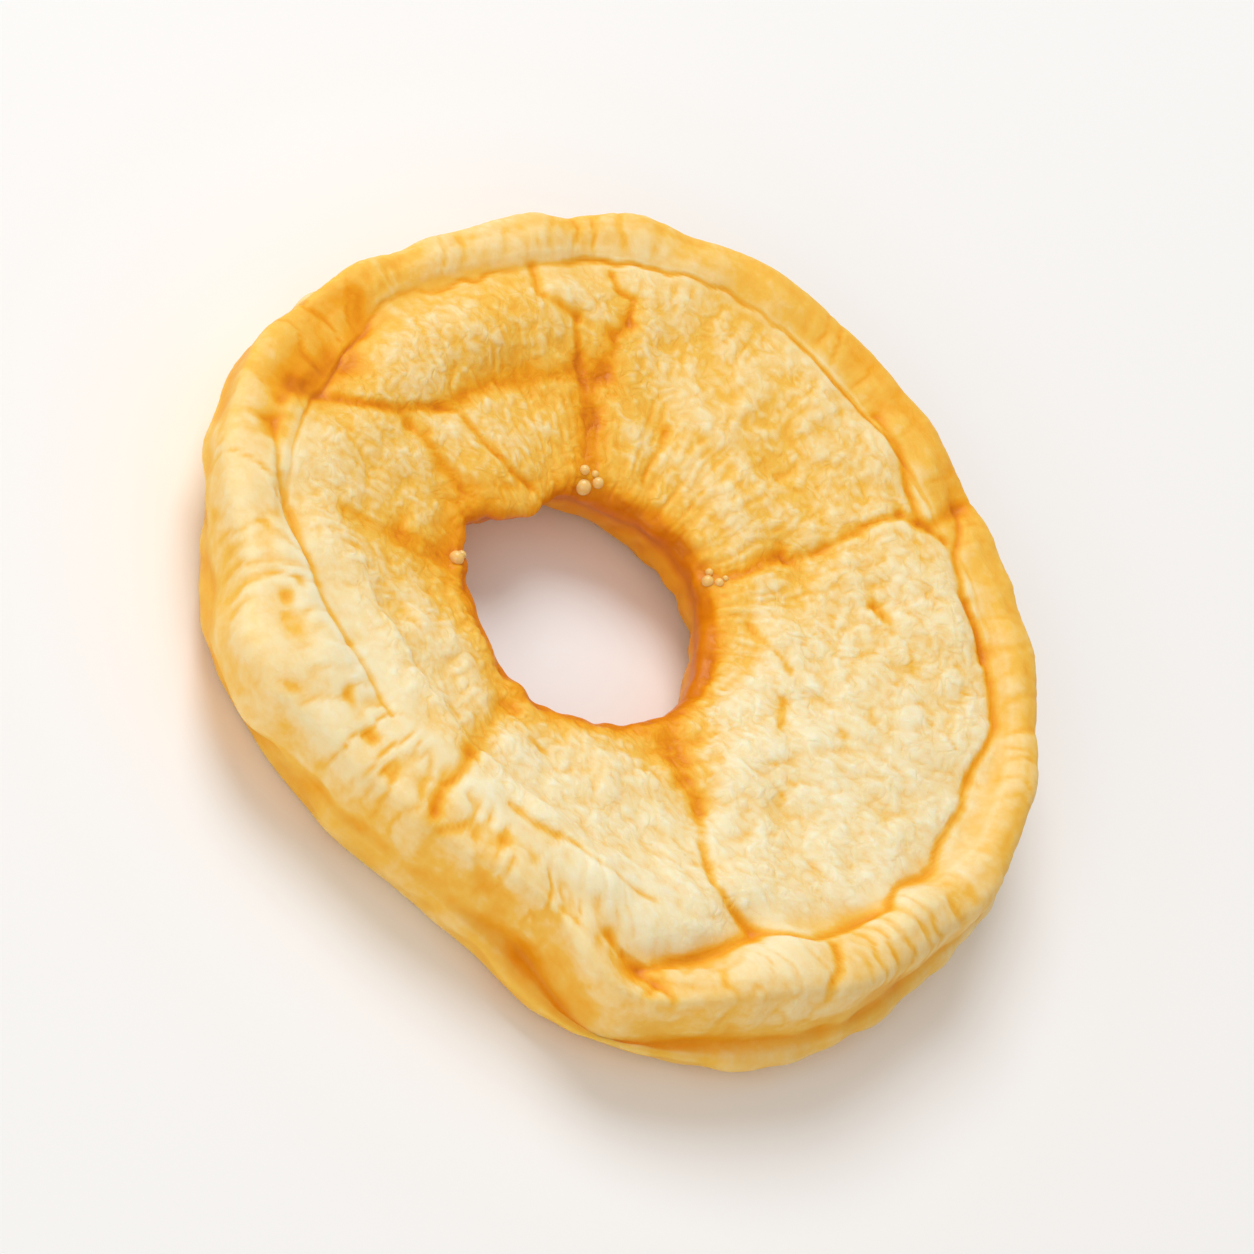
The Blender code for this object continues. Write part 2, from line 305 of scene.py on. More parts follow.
# The creases and wrinkles
# Flesh that dries on the cut face pulls into creases that run out from the core, where the core's
# walls were. Finer wrinkles cross the face, and the rim gathers into pleats. Each is a depth by
# which the surface sinks along its own normal. The deep ones turn amber, partly from sugar and
# partly as painted shade.
# A crease is a narrow valley in a wider one: its path in millimetres, half width, depth, and share
# of amber and painted shade.
WIDE_VALLEY = 3
NARROW_SHARE_OF_DEPTH = 0.6
NARROW_SHARE_OF_AMBER_AND_SHADE = 0.75
CREASES = (
    (((-18.1, 13.2), (-17.0, 12.2), (-15.4, 10.9)), 0.35, 0.5, 0.5),
    (((-15.4, 10.9), (-13.8, 9.5), (-12.2, 8.0)), 0.6, 0.5, 0.6),
    (((-12.2, 8.0), (-10.6, 6.0), (-9.6, 4.3)), 0.9, 0.5, 0.8),
    (((-22.6, 13.4), (-21.0, 11.8), (-19.5, 12.5), (-18.1, 13.2)), 0.35, 0.4, 0.3),
    (((-18.5, 18.6), (-17.3, 17.9), (-16.0, 18.2), (-15.1, 16.4)), 0.3, 0.35, 0.3),
    (((-15.1, 16.4), (-15.3, 14.5), (-13.8, 12.1), (-14.0, 10.3)), 0.6, 0.3, 0.45),
    (
        (
            (-28.6, -10.5), (-26.5, -9.3), (-24.3, -7.3), (-22.3, -5.1), (-20.5, -2.3), (-19.5, 0.5),
        ),
        0.45, 0.6, 0.4,
    ),
    (((-19.5, 0.5), (-18.7, 3.7), (-17.0, 6.9), (-15.2, 10.5)), 0.7, 0.35, 0.35),
    (((-21.0, -5.1), (-19.5, -4.5), (-17.0, -5.2), (-14.7, -5.2)), 0.6, 0.5, 0.35),
    (((-20.5, -2.3), (-19.0, -0.7), (-16.7, -1.2), (-14.1, -1.1), (-11.7, -0.3)), 0.3, 0.35, 0.25),
    (((-12.0, -9.0), (-13.4, -11.1), (-15.5, -12.5)), 1.0, 0.8, 0.75),
    (((-15.5, -12.5), (-17.2, -14.2), (-19.5, -15.7)), 0.7, 0.5, 0.4),
    (((-28.4, -12.7), (-27.5, -8.8), (-27.1, -4.7), (-28.2, -1.8), (-29.4, -0.6)), 0.8, 0.5, 0.55),
    (((-28.9, 1.4), (-27.8, 4.6), (-26.0, 8.7), (-24.4, 12.3), (-23.2, 16.0)), 0.9, 0.1, 0.15),
    (((-21.7, 1.5), (-20.7, -0.3), (-19.5, 0.9)), 0.25, 0.2, 0.15),
    (
        (
            (-27.2, -14.8), (-25.1, -18.0), (-22.6, -19.3), (-20.5, -20.7), (-16.2, -23.3),
            (-13.0, -24.6),
        ),
        0.35, 0.35, 0.25,
    ),
    (((-12.9, -24.7), (-10.2, -25.4), (-7.4, -26.6)), 0.3, 0.25, 0.2),
    (((1.3, 5.6), (2.8, 7.8), (3.9, 11.7)), 0.55, 0.5, 0.85),
    (((4.5, 11.5), (5.9, 14.5), (6.8, 18.0), (7.8, 21.9)), 0.35, 0.35, 0.3),
    (((7.8, 21.9), (10.0, 22.6), (10.4, 26.3)), 0.5, 0.4, 0.35),
    (((1.9, 27.0), (4.4, 26.2), (6.7, 24.5), (9.5, 22.6), (11.6, 23.1)), 0.4, 0.4, 0.35),
    (((7.1, -7.7), (8.6, -8.8), (10.0, -9.9)), 0.8, 0.5, 0.6),
    (((10.0, -9.9), (11.5, -10.5), (12.4, -11.1)), 0.6, 0.5, 0.6),
    (((12.4, -11.1), (14.4, -14.1), (16.9, -16.3), (19.2, -16.6), (21.0, -16.5)), 0.4, 0.55, 0.4),
    (
        (
            (21.0, -16.5), (22.5, -15.4), (24.4, -13.4), (25.3, -9.8), (26.7, -6.9), (26.3, -4.3),
            (26.8, 0.0), (26.2, 2.3), (25.7, 6.4), (24.4, 8.8), (23.8, 11.8), (23.2, 13.9),
            (20.8, 16.5), (18.3, 18.4), (15.7, 20.2),
        ),
        0.3, 0.4, 0.4,
    ),
    (
        (
            (19.4, 17.2), (17.1, 19.6), (15.1, 20.1), (13.0, 22.6), (11.8, 24.7), (10.5, 26.5),
        ),
        0.3, 0.35, 0.3,
    ),
    (((11.7, -25.5), (12.8, -26.0), (13.9, -26.3)), 0.4, 0.15, 0.3),
    (((13.9, -26.3), (15.5, -26.4), (17.2, -26.0)), 0.35, 0.5, 0.45),
    (((17.2, -26.0), (19.0, -22.9), (20.4, -19.7), (21.2, -16.9)), 0.35, 0.55, 0.45),
    (((16.7, -26.5), (18.7, -26.2), (19.0, -28.4)), 0.35, 0.3, 0.25),
    (((18.7, -26.2), (20.7, -26.4)), 0.35, 0.3, 0.25),
    (((25.7, -12.8), (27.2, -14.4), (27.8, -16.4)), 0.4, 0.35, 0.45),
    (((-2.1, -16.5), (-2.2, -19.6), (-1.8, -23.8)), 0.9, 0.6, 0.4),
    (((-1.8, -23.8), (-1.3, -25.7), (-1.0, -28.6), (-0.6, -30.2)), 0.5, 0.5, 0.45),
    (((-0.4, -30.6), (0.1, -31.5), (0.7, -31.3)), 0.6, 0.45, 0.6),
    (((2.8, -25.1), (5.0, -24.7), (7.3, -24.0), (11.0, -23.2), (14.5, -22.0)), 0.35, 0.3, 0.2),
    (((5.9, 5.0), (7.9, 4.4), (10.1, 4.0)), 0.3, 0.25, 0.15),
    (((11.3, 1.5), (12.4, -0.8)), 0.3, 0.25, 0.2),
    (((11.2, 13.8), (12.7, 13.6)), 0.4, 0.25, 0.25),
    (((11.2, 14.0), (12.2, 13.8)), 0.4, 0.25, 0.3),
    (((-8.1, 12.5), (-7.1, 9.5), (-6.6, 7.6)), 0.35, 0.3, 0.25),
    (((1.1, -17.4), (2.1, -17.4)), 0.3, 0.2, 0.15),
)

# Hollows and pits: middle in millimetres, spread, depth, share of amber and painted shade
HOLLOWS = (
    ((-18.0, 7.0), 6.5, 0.3, 0.1),
    ((-13.0, -11.0), 4.0, 0.5, 0.1),
    ((9.0, -13.0), 3.5, 0.4, 0.0),
    ((8.0, -8.5), 2.2, 0.3, 0.35),
    ((-27.9, -8.9), 1.6, 0.5, 0.5),
    ((-27.3, -14.9), 1.0, 0.4, 0.35),
    ((-27.3, -6.1), 1.0, 0.3, 0.4),
    ((-15.5, 14.7), 0.5, 0.2, 0.35),
    ((-13.8, 12.1), 0.6, 0.12, 0.25),
    ((9.1, -8.9), 0.5, 0.2, 0.3),
    ((11.3, -10.4), 0.5, 0.2, 0.35),
    ((-13.7, -31.5), 0.5, 0.3, 0.35),
    ((-10.3, -28.5), 0.6, 0.3, 0.4),
    ((-7.3, -29.8), 0.45, 0.25, 0.3),
    ((-4.4, -31.0), 0.5, 0.3, 0.4),
    ((4.3, -28.0), 0.5, 0.25, 0.3),
    ((-18.1, -26.0), 0.45, 0.25, 0.3),
    ((-18.1, -24.2), 0.45, 0.25, 0.3),
    ((18.8, 18.0), 0.5, 0.3, 0.4),
    ((24.5, 8.8), 0.35, 0.2, 0.3),
    ((9.6, 22.5), 0.6, 0.3, 0.4),
    ((15.9, 2.8), 0.35, 0.2, 0.15),
)

# How clearly the seam between face and rim shows as a fold, round the ring
SEAM_FOLD = 0.2
SEAM_FOLD_SWELLS = (
    (303, 11, -0.6),
    (0, 50, -0.3),
    (90, 20, 0.1),
    (270, 20, -0.4),
)
SEAM_FOLD_PATCHES = 0.35
SEAM_FOLD_DEPTH = 0.6 * MM
SEAM_FOLD_STEPS = 0.28
SEAM_DRIFT_SIZE = 4.5 * MM
SEAM_DRIFT_STEPS = 1.0
FINE_SEAM_DRIFT_SIZE = 1.5 * MM
FINE_SEAM_DRIFT_STEPS = 0.6

# Where creases cross, they get no deeper than this
CREASE_LIMIT = 0.8 * MM

# Noise scales are the size of one bump
LUMP_SIZE = 7 * MM
LUMP_DEPTH = 0.55 * MM
SWELL_SIZE = 3.2 * MM
SWELL_DEPTH = 0.32 * MM
PUFF_SIZE = 2.2 * MM
PUFF_DEPTH = 0.32 * MM
FINE_PUFF_SIZE = 0.8 * MM
FINE_PUFF_DEPTH = 0.15 * MM
RAGGED_SIZE = 1.6 * MM
RAGGED_DEPTH = 0.45 * MM
WOBBLE_SIZE = 2.4 * MM
WOBBLE_REACH = 0.28 * MM
PATCH_SIZE = 8 * MM
PATCHINESS = 0.5

# The size of noise without its sign is about this on average
MEAN_NOISE = 0.2

# Pleats run across the rim and side for so many section steps, and lean by one spacing in so many
RIM_PLEAT_SPACING = 4.5 * MM
RIM_PLEAT_STEPS = 14
RIM_PLEAT_DEPTH = 0.28 * MM
FINE_PLEAT_SPACING = 2.0 * MM
FINE_PLEAT_STEPS = 12
FINE_PLEAT_LEAN_STEPS = 60
FINE_PLEAT_WIDTH = 0.17
FINE_PLEAT_DEPTH = 0.17 * MM
SIDE_PLEAT_SPACING = 2.6 * MM
SIDE_PLEAT_STEPS = 7
SIDE_PLEAT_LEAN_STEPS = 9
SIDE_PLEAT_DEPTH = 0.3 * MM

# Fibres spread out from the core, with their spacing measured at this distance from its middle
FIBRE_RADIUS = 18 * MM
FIBRE_SPACING = 1.0 * MM
FIBRE_LENGTH = 5 * MM
FIBRE_DEPTH = 0.2 * MM

# How much of each relief shows, and how that changes round the ring
FINE_PLEATED = 0.3
FINE_PLEATED_SWELLS = (
    (228, 35, 0.6),
    (330, 30, 0.4),
    (285, 15, 0.3),
)
PUFFED = 0.45
PUFFED_SWELLS = (
    (0, 45, 0.55),
    (235, 25, 0.35),
    (290, 20, 0.2),
)
FIBRED = 0.45
FIBRED_SWELLS = (
    (75, 50, 0.55),
    (180, 40, 0.2),
)

# The flap of the face that folds over the rim lies at this angle. It is smoother than the rest of
# the face, and pleated.
FLAP_ANGLE = 300
FLAP_SMOOTHING = 0.4
FLAP_PLEATED = 0.7


def noise_at(places, shift=0):
    """Smooth unevenness between -1 and 1, one unit across. Each shift gives another pattern."""
    return np.array([noise.noise(Vector(place)) for place in places + shift])


def path_distance(places, path):
    """How far each place in plan is from a path of straight stretches."""
    nearest = np.full(len(places), np.inf)
    for first, last in zip(path[:-1], path[1:]):
        first, along = np.array(first) * MM, (np.array(last) - np.array(first)) * MM
        reach = np.clip((places - first) @ along / (along @ along), 0, 1)
        away = np.linalg.norm(places - first - reach[:, None] * along, axis=1)
        nearest = np.minimum(nearest, away)
    return nearest


def inside(step, first, last, fade):
    """1 between two section steps, fading to 0 outside them."""
    return np.clip((step - first) / fade, 0, 1) * np.clip((last - step) / fade, 0, 1)


wobble = np.column_stack([noise_at(points / WOBBLE_SIZE, shift) for shift in (0, 7.3, 19.1)])
places = points + wobble * WOBBLE_REACH
patchy = noise_at(points / PATCH_SIZE, shift=5.2)

# Where each region lies, in section steps and with soft ends
on_top = np.clip((step - 2) / 4, 0, 1) * np.clip((32 - step) / 3, 0, 1)
on_face = inside(step, 1, SEAM_STEP + 0.5, 3)
on_face *= 1 - FLAP_SMOOTHING * bump_at(angle, FLAP_ANGLE, 14) * np.clip((step - 14) / 3, 0, 1)
on_side = np.exp(-0.5 * ((step - 31) / 4.5) ** 2)
on_rim = inside(step, SEAM_STEP - 0.5, 34, 3)
off_rest = np.clip((abs(step - REST_STEP) - REST_STEPS) / 3, 0, 1)

# The amber in the creases and hollows is partly the flesh's own colour and partly painted shade.
crease_depth = 0 * angle
crease_amber_and_shade = 0 * angle
for path, half_width, deepest, amber in CREASES:
    away = path_distance(places[:, :2], path) / (half_width * MM)
    narrow, wide = np.exp(-(away**2)), np.exp(-((away / WIDE_VALLEY) ** 2))
    valley = NARROW_SHARE_OF_DEPTH * narrow + (1 - NARROW_SHARE_OF_DEPTH) * wide
    sugar_and_shade = NARROW_SHARE_OF_AMBER_AND_SHADE * narrow + (1 - NARROW_SHARE_OF_AMBER_AND_SHADE) * wide
    crease_depth += deepest * MM * valley * on_top
    crease_amber_and_shade += amber * sugar_and_shade * on_top
for middle, spread, deepest, amber in HOLLOWS:
    away = np.linalg.norm(places[:, :2] - np.array(middle) * MM, axis=1) / (spread * MM)
    crease_depth += deepest * MM * np.exp(-0.5 * away**2) * on_top
    crease_amber_and_shade += amber * np.exp(-0.5 * away**2) * on_top
crease_depth = CREASE_LIMIT * np.tanh(crease_depth / CREASE_LIMIT)
seam_drift = SEAM_DRIFT_STEPS * noise_at(points / SEAM_DRIFT_SIZE, shift=3.1)
seam_drift += FINE_SEAM_DRIFT_STEPS * noise_at(points / FINE_SEAM_DRIFT_SIZE, shift=9.6)
# The seam is sunk as a fold and tinted amber along it: partly its own colour, partly painted shade.
seam_line = np.exp(-(((step - SEAM_STEP - seam_drift) / SEAM_FOLD_STEPS) ** 2))
seam_shows = around(angle, SEAM_FOLD, SEAM_FOLD_SWELLS) + SEAM_FOLD_PATCHES * patchy
seam_line *= np.clip(seam_shows, 0, 1)

# The pleats sink along their valleys, and the shade below paints those valleys darker and the side
# pleats' ridges lighter: painted shade and light.
round_rim = np.column_stack([np.cos(np.radians(angle)), np.sin(np.radians(angle))]) * RING_RADIUS
leaning = 0.5 * wobble[:, :2] + np.column_stack([step, -step]) / FINE_PLEAT_LEAN_STEPS
rim_pleats = noise_at(np.column_stack([round_rim / RIM_PLEAT_SPACING, step / RIM_PLEAT_STEPS]))
fine_round = round_rim / FINE_PLEAT_SPACING + leaning
folds = noise_at(np.column_stack([fine_round, step / FINE_PLEAT_STEPS]))
on_flap = FLAP_PLEATED * bump_at(angle, FLAP_ANGLE, 11) * inside(step, 16, 24, 2)
fine_pleats = np.exp(-((folds / FINE_PLEAT_WIDTH) ** 2)) * np.maximum(on_rim, on_flap)
pleated = around(angle, FINE_PLEATED, FINE_PLEATED_SWELLS)
fine_pleats *= np.clip(pleated + PATCHINESS * patchy, 0, 1)
side_lean = np.column_stack([step, -step]) / SIDE_PLEAT_LEAN_STEPS
side_round = round_rim / SIDE_PLEAT_SPACING + side_lean
side_pleats = noise_at(np.column_stack([side_round, step / SIDE_PLEAT_STEPS]), shift=3.3)
side_pleats *= inside(step, 33.5, 43, 2)
puffs = abs(noise_at(places / PUFF_SIZE, shift=2.9))
fine_puffs = abs(noise_at(places / FINE_PUFF_SIZE, shift=8.1))
puffed = on_face * np.clip(around(angle, PUFFED, PUFFED_SWELLS), 0, 1)
from_core = points[:, :2] - np.array(CORE_CENTRE)
core_away = np.hypot(from_core[:, 0], from_core[:, 1])
fibre_round = from_core / core_away[:, None] * FIBRE_RADIUS / FIBRE_SPACING + 0.5 * wobble[:, :2]
fibres = abs(noise_at(np.column_stack([fibre_round, core_away / FIBRE_LENGTH])))
fibred = on_face * np.clip(around(angle, FIBRED, FIBRED_SWELLS), 0, 1)
on_wall = np.clip((step - 50) / 2, 0, 1) + inside(step, -1, 5, 2)
ragged = noise_at(points / RAGGED_SIZE, shift=14.6) * on_wall
depth = (
    crease_depth
    + SEAM_FOLD_DEPTH * seam_line
    + LUMP_DEPTH * noise_at(points / LUMP_SIZE)
    + SWELL_DEPTH * noise_at(points / SWELL_SIZE, shift=11.7) * inside(step, 2, 42, 3)
    + RIM_PLEAT_DEPTH * rim_pleats * on_side
    + FINE_PLEAT_DEPTH * fine_pleats
    + SIDE_PLEAT_DEPTH * side_pleats
    + PUFF_DEPTH * (MEAN_NOISE - puffs) * puffed
    + FINE_PUFF_DEPTH * (MEAN_NOISE - fine_puffs) * np.clip(on_face + 0.5 * on_side, 0, 1)
    + FIBRE_DEPTH * (MEAN_NOISE - fibres) * fibred
    + RAGGED_DEPTH * ragged
)
points = points - normals * (depth * off_rest)[:, None]
points[:, 2] = np.maximum(points[:, 2], 0)
ring_low, ring_high = (np.array(corner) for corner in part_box("apple_ring"))
middle = (points.min(axis=0) + points.max(axis=0)) / 2
points[:, :2] += (ring_low + ring_high)[:2] / 2 - middle[:2]
room = (ring_high - ring_low) / (points.max(axis=0) - points.min(axis=0))
points *= np.minimum(room, 1)
write_points(ring_mesh, points)

# The flesh's colour
# Dried flesh is cream where it is airy, straw and gold on the rim and low on the side, and amber
# where sugar has gathered: in the creases, at the core's cut edge and in the seam. Part of that
# amber is painted: painted shade in the creases, the seam, the pleats and the core's wall, and a
# painted glow at the core's cut edge. Hollows are painted darker and crests lighter, as painted
# shade and light. The shade at each point is kept as an attribute, from 0 for cream to 1 for deep
# amber.
FACE_SHADE = 0.12
FACE_SHADE_SWELLS = (
    (90, 35, 0.17),
    # The darker tan round 163 degrees is partly the face's own tone and partly painted shade of a
    # slope facing away from the light.
    (163, 24, 0.16),
    (212, 18, 0.08),
    (5, 35, -0.02),
)
RIM_SHADE = 0.38
RIM_SHADE_SWELLS = (
    (189, 9, 0.16),
    (50, 40, 0.09),
    (163, 17, -0.08),
    (238, 26, -0.12),
    (15, 30, -0.07),
    (285, 32, -0.09),
    (345, 20, -0.03),
    (95, 20, 0.06),
)
SIDE_SHADE = 0.31
SIDE_SHADE_SWELLS = (
    (240, 30, 0.18),
    (297, 7, 0.15),
    (335, 25, 0.1),
)
# The core's cut edge is tinted amber round the ring: partly the flesh's own colour, partly a painted
# glow of light through the thin edge.
CORE_GLOW = 0.95
CORE_GLOW_SWELLS = (
    (330, 35, 0.4),
    (20, 30, 0.3),
    (230, 25, 0.6),
    (285, 25, 0.4),
    (170, 12, -0.3),
)

# How many steps the core's amber and painted glow reach over the face
CORE_GLOW_STEPS = 1.5
CORE_GLOW_STEPS_SWELLS = (
    (255, 50, 1.1),
)

# How much each thing darkens the flesh. For the pleats this is painted shade; for the creases, the
# seam and the core's wall it is partly amber of the flesh and partly painted shade; at the core's
# edge it is partly amber and partly a painted glow.
RIM_SHADE_PER_STEP = 0.028
CREASE_AMBER_AND_SHADE = 0.5
SEAM_AMBER_AND_SHADE = 0.3
FINE_PLEAT_PAINTED_SHADE = 0.07
SIDE_PLEAT_PAINTED_SHADE = 0.08
CORE_EDGE_AMBER_AND_GLOW = 0.55
CORE_WALL_AMBER_AND_SHADE = 0.45
CLOUD_SIZE = 6 * MM
CLOUD_TINT = 0.08

# Painted shade in fine and wide hollows, and painted light on crests: how many mesh points they
# reach, the least and most that counts in millimetres, and the painted shade for each millimetre.
# The wide ones count for less on the side.
FINE_HOLLOW_REACH = 2
FINE_HOLLOW_LIMITS = (-0.08, 0.12)
FINE_HOLLOW_PAINTED_SHADE = 1.15
HOLLOW_REACH = 6
HOLLOW_LIMITS = (-0.12, 0.3)
HOLLOW_PAINTED_SHADE = 0.4
SIDE_HOLLOW_LOSS = 0.85

# Above this shade, more of everything adds less and less
SHADE_KNEE = 0.6

# How much of the fine wrinkles shows on the face and on the rim
WRINKLED_FACE = 0.8
WRINKLED_RIM = 0.25
WRINKLED_PATCHES = 0.4

# The mesh as a grid of points: round the ring by across its section
around_order = np.round(angle / 360 * MESH_ROUND).astype(int) % MESH_ROUND
across_order = np.round(mesh_share * MESH_ACROSS).astype(int) % MESH_ACROSS
grid_row = np.empty((MESH_ROUND, MESH_ACROSS), int)
grid_row[around_order, across_order] = np.arange(len(points))


def smoothed(values, reach):
    """Averages values over each point's neighbours on the ring's own grid."""
    grid = values[grid_row]
    for axis in (0, 1):
        turned_grids = [np.roll(grid, shift, axis) for shift in range(-reach, reach + 1)]
        grid = sum(turned_grids) / len(turned_grids)
    flat = np.empty_like(values)
    flat[grid_row] = grid
    return flat


def hollowness(reach):
    """How far each point lies below its neighbours, in millimetres."""
    mean = smoothed(points, reach)
    return ((mean - points) * read_normals(ring_mesh)).sum(axis=1) / MM


glow_steps = around(angle, CORE_GLOW_STEPS, CORE_GLOW_STEPS_SWELLS)
on_core = np.exp(-np.clip(step - 3, 0, None) / glow_steps) * (step < 20)
on_core *= np.clip(around(angle, CORE_GLOW, CORE_GLOW_SWELLS) + PATCHINESS * patchy, 0, 1.3)
# The core's wall is tinted deep amber: partly the cut flesh's own colour, partly painted shade.
in_core = np.clip((step - 49) / 3, 0, 1) + np.clip((3 - step) / 2, 0, 1)
face_part = np.clip((SEAM_STEP + 1 - step) / 2, 0, 1)
side_part = np.clip((step - GROOVE_STEP + 1) / 2, 0, 1)
rim_part = 1 - face_part - side_part
rim_shade = around(angle, RIM_SHADE, RIM_SHADE_SWELLS) + RIM_SHADE_PER_STEP * (step - CREST_STEP)
fine_hollows = np.clip(hollowness(FINE_HOLLOW_REACH), *FINE_HOLLOW_LIMITS)
hollows = np.clip(hollowness(HOLLOW_REACH), *HOLLOW_LIMITS)
# The flesh's own tones and amber, with painted shade in the creases, seam, pleats, core's wall and
# hollows, painted light on crests, and a painted glow at the core's edge.
shade = (
    face_part * around(angle, FACE_SHADE, FACE_SHADE_SWELLS)
    + rim_part * rim_shade
    + side_part * around(angle, SIDE_SHADE, SIDE_SHADE_SWELLS)
    + CREASE_AMBER_AND_SHADE * np.clip(crease_amber_and_shade * (1 + PATCHINESS * patchy), 0, 1)
    + SEAM_AMBER_AND_SHADE * seam_line
    + FINE_PLEAT_PAINTED_SHADE * fine_pleats
    + SIDE_PLEAT_PAINTED_SHADE * side_pleats
    + CORE_EDGE_AMBER_AND_GLOW * on_core
    + CORE_WALL_AMBER_AND_SHADE * np.clip(in_core, 0, 1)
    + CLOUD_TINT * noise_at(points / CLOUD_SIZE, shift=21.3)
    + FINE_HOLLOW_PAINTED_SHADE * fine_hollows
    + HOLLOW_PAINTED_SHADE * hollows * (1 - SIDE_HOLLOW_LOSS * side_part)
)
headroom = 1 - SHADE_KNEE
eased = SHADE_KNEE + headroom * np.tanh((shade - SHADE_KNEE) / headroom)
shade = np.clip(np.where(shade < SHADE_KNEE, shade, eased), 0, 1)
ring_mesh.attributes.new("shade", "FLOAT", "POINT").data.foreach_set("value", shade)
wrinkled = (WRINKLED_FACE + WRINKLED_PATCHES * patchy) * on_face + WRINKLED_RIM * on_rim
wrinkled = np.clip(wrinkled, 0, 1)
ring_mesh.attributes.new("wrinkled", "FLOAT", "POINT").data.foreach_set("value", wrinkled)
ring_mesh.shade_smooth()

# Dried apple flesh
# A leathery, faintly waxy skin over airy flesh that lets light a few millimetres in, which gives
# thin edges and creases their warm glow. The shade picks its colour from cream to deep amber.
FLESH_STOPS = (
    (0.0, "#fdf1d0"),
    (0.2, "#fbdfa6"),
    (0.4, "#f9c352"),
    (0.6, "#f5aa1e"),
    (0.8, "#ec9206"),
    (1.0, "#d67402"),
)
LIGHT_REACH = 2.0 * MM
MOTTLE_SIZE = 1.1 * MM
MOTTLE_TINT = 0.045
# Wrinkle lines are sunk by a bump and painted darker along their length: painted shade.
WRINKLE_SIZE = 1.35 * MM
WRINKLE_WIDTH = 0.16
WRINKLE_PAINTED_SHADE = 0.11
WRINKLE_HEIGHT = 0.16 * MM
GRAIN_SIZE = 0.5 * MM
GRAIN_HEIGHT = 0.12 * MM


def linear(colour):
    """A colour written as sRGB hex, as the linear value that shaders take."""
    parts = [int(colour[k : k + 2], 16) / 255 for k in (1, 3, 5)]
    return (*[p / 12.92 if p <= 0.04045 else ((p + 0.055) / 1.055) ** 2.4 for p in parts], 1)


def add_node(material, kind, settings=(), inputs=(), links=()):
    """Adds a shader node: its settings, its socket values, and what feeds its sockets."""
    node = material.node_tree.nodes.new(kind)
    for name, value in dict(settings).items():
        setattr(node, name, value)
    for name, value in dict(inputs).items():
        node.inputs[name].default_value = value
    for name, source in dict(links).items():
        material.node_tree.links.new(source, node.inputs[name])
    return node


def set_stops(ramp, stops):
    """Gives a colour ramp its stops, as places and hex colours."""
    while len(ramp.elements) < len(stops):
        ramp.elements.new(0.5)
    for element, (place, colour) in zip(ramp.elements, stops):
        element.position = place
        element.color = linear(colour)


flesh = bpy.data.materials.new("dried_apple_flesh")
flesh.use_nodes = True
flesh.node_tree.nodes.clear()
coords = add_node(flesh, "ShaderNodeTexCoord").outputs["Object"]
shade_read = add_node(flesh, "ShaderNodeAttribute", {"attribute_name": "shade"}).outputs["Fac"]
mottle = add_node(
    flesh,
    "ShaderNodeTexNoise",
    inputs={"Scale": 1 / MOTTLE_SIZE, "Detail": 4, "Roughness": 0.6},
    links={"Vector": coords},
)
mottle_push = add_node(
    flesh,
    "ShaderNodeMapRange",
    inputs={"From Min": 0.3, "From Max": 0.7, "To Min": -MOTTLE_TINT, "To Max": MOTTLE_TINT},
    links={"Value": mottle.outputs["Fac"]},
)
mottled = add_node(
    flesh,
    "ShaderNodeMath",
    {"operation": "ADD"},
    links={0: shade_read, 1: mottle_push.outputs["Result"]},
)
wrinkle_noise = add_node(
    flesh,
    "ShaderNodeTexNoise",
    inputs={"Scale": 1 / WRINKLE_SIZE, "Detail": 2, "Roughness": 0.5, "Distortion": 0.5},
    links={"Vector": coords},
)
off_middle = add_node(
    flesh,
    "ShaderNodeMath",
    {"operation": "SUBTRACT"},
    {1: 0.5},
    {0: wrinkle_noise.outputs["Fac"]},
)
from_line = add_node(
    flesh,
    "ShaderNodeMath",
    {"operation": "ABSOLUTE"},
    links={0: off_middle.outputs[0]},
)
face_read = add_node(flesh, "ShaderNodeAttribute", {"attribute_name": "wrinkled"}).outputs["Fac"]
line_strength = add_node(
    flesh,
    "ShaderNodeMapRange",
    inputs={"From Min": 0, "From Max": WRINKLE_WIDTH, "To Min": 1, "To Max": 0},
    links={"Value": from_line.outputs[0]},
)
wrinkles = add_node(
    flesh,
    "ShaderNodeMath",
    {"operation": "MULTIPLY"},
    links={0: line_strength.outputs["Result"], 1: face_read},
)
# Painted shade along the wrinkle lines, added to the flesh's shade.
lined = add_node(
    flesh,
    "ShaderNodeMath",
    {"operation": "MULTIPLY_ADD"},
    {1: WRINKLE_PAINTED_SHADE},
    {0: wrinkles.outputs[0], 2: mottled.outputs[0]},
)
flesh_ramp = add_node(flesh, "ShaderNodeValToRGB", links={"Fac": lined.outputs[0]})
set_stops(flesh_ramp.color_ramp, FLESH_STOPS)
gloss = add_node(
    flesh,
    "ShaderNodeMapRange",
    inputs={"From Min": 0.2, "From Max": 0.9, "To Min": 0.6, "To Max": 0.36},
    links={"Value": mottled.outputs[0]},
)
grain = add_node(
    flesh,
    "ShaderNodeTexNoise",
    inputs={"Scale": 1 / GRAIN_SIZE, "Detail": 5, "Roughness": 0.55, "Distortion": 0.6},
    links={"Vector": coords},
)
grained = add_node(
    flesh,
    "ShaderNodeBump",
    inputs={"Strength": 0.28, "Distance": GRAIN_HEIGHT},
    links={"Height": grain.outputs["Fac"]},
)
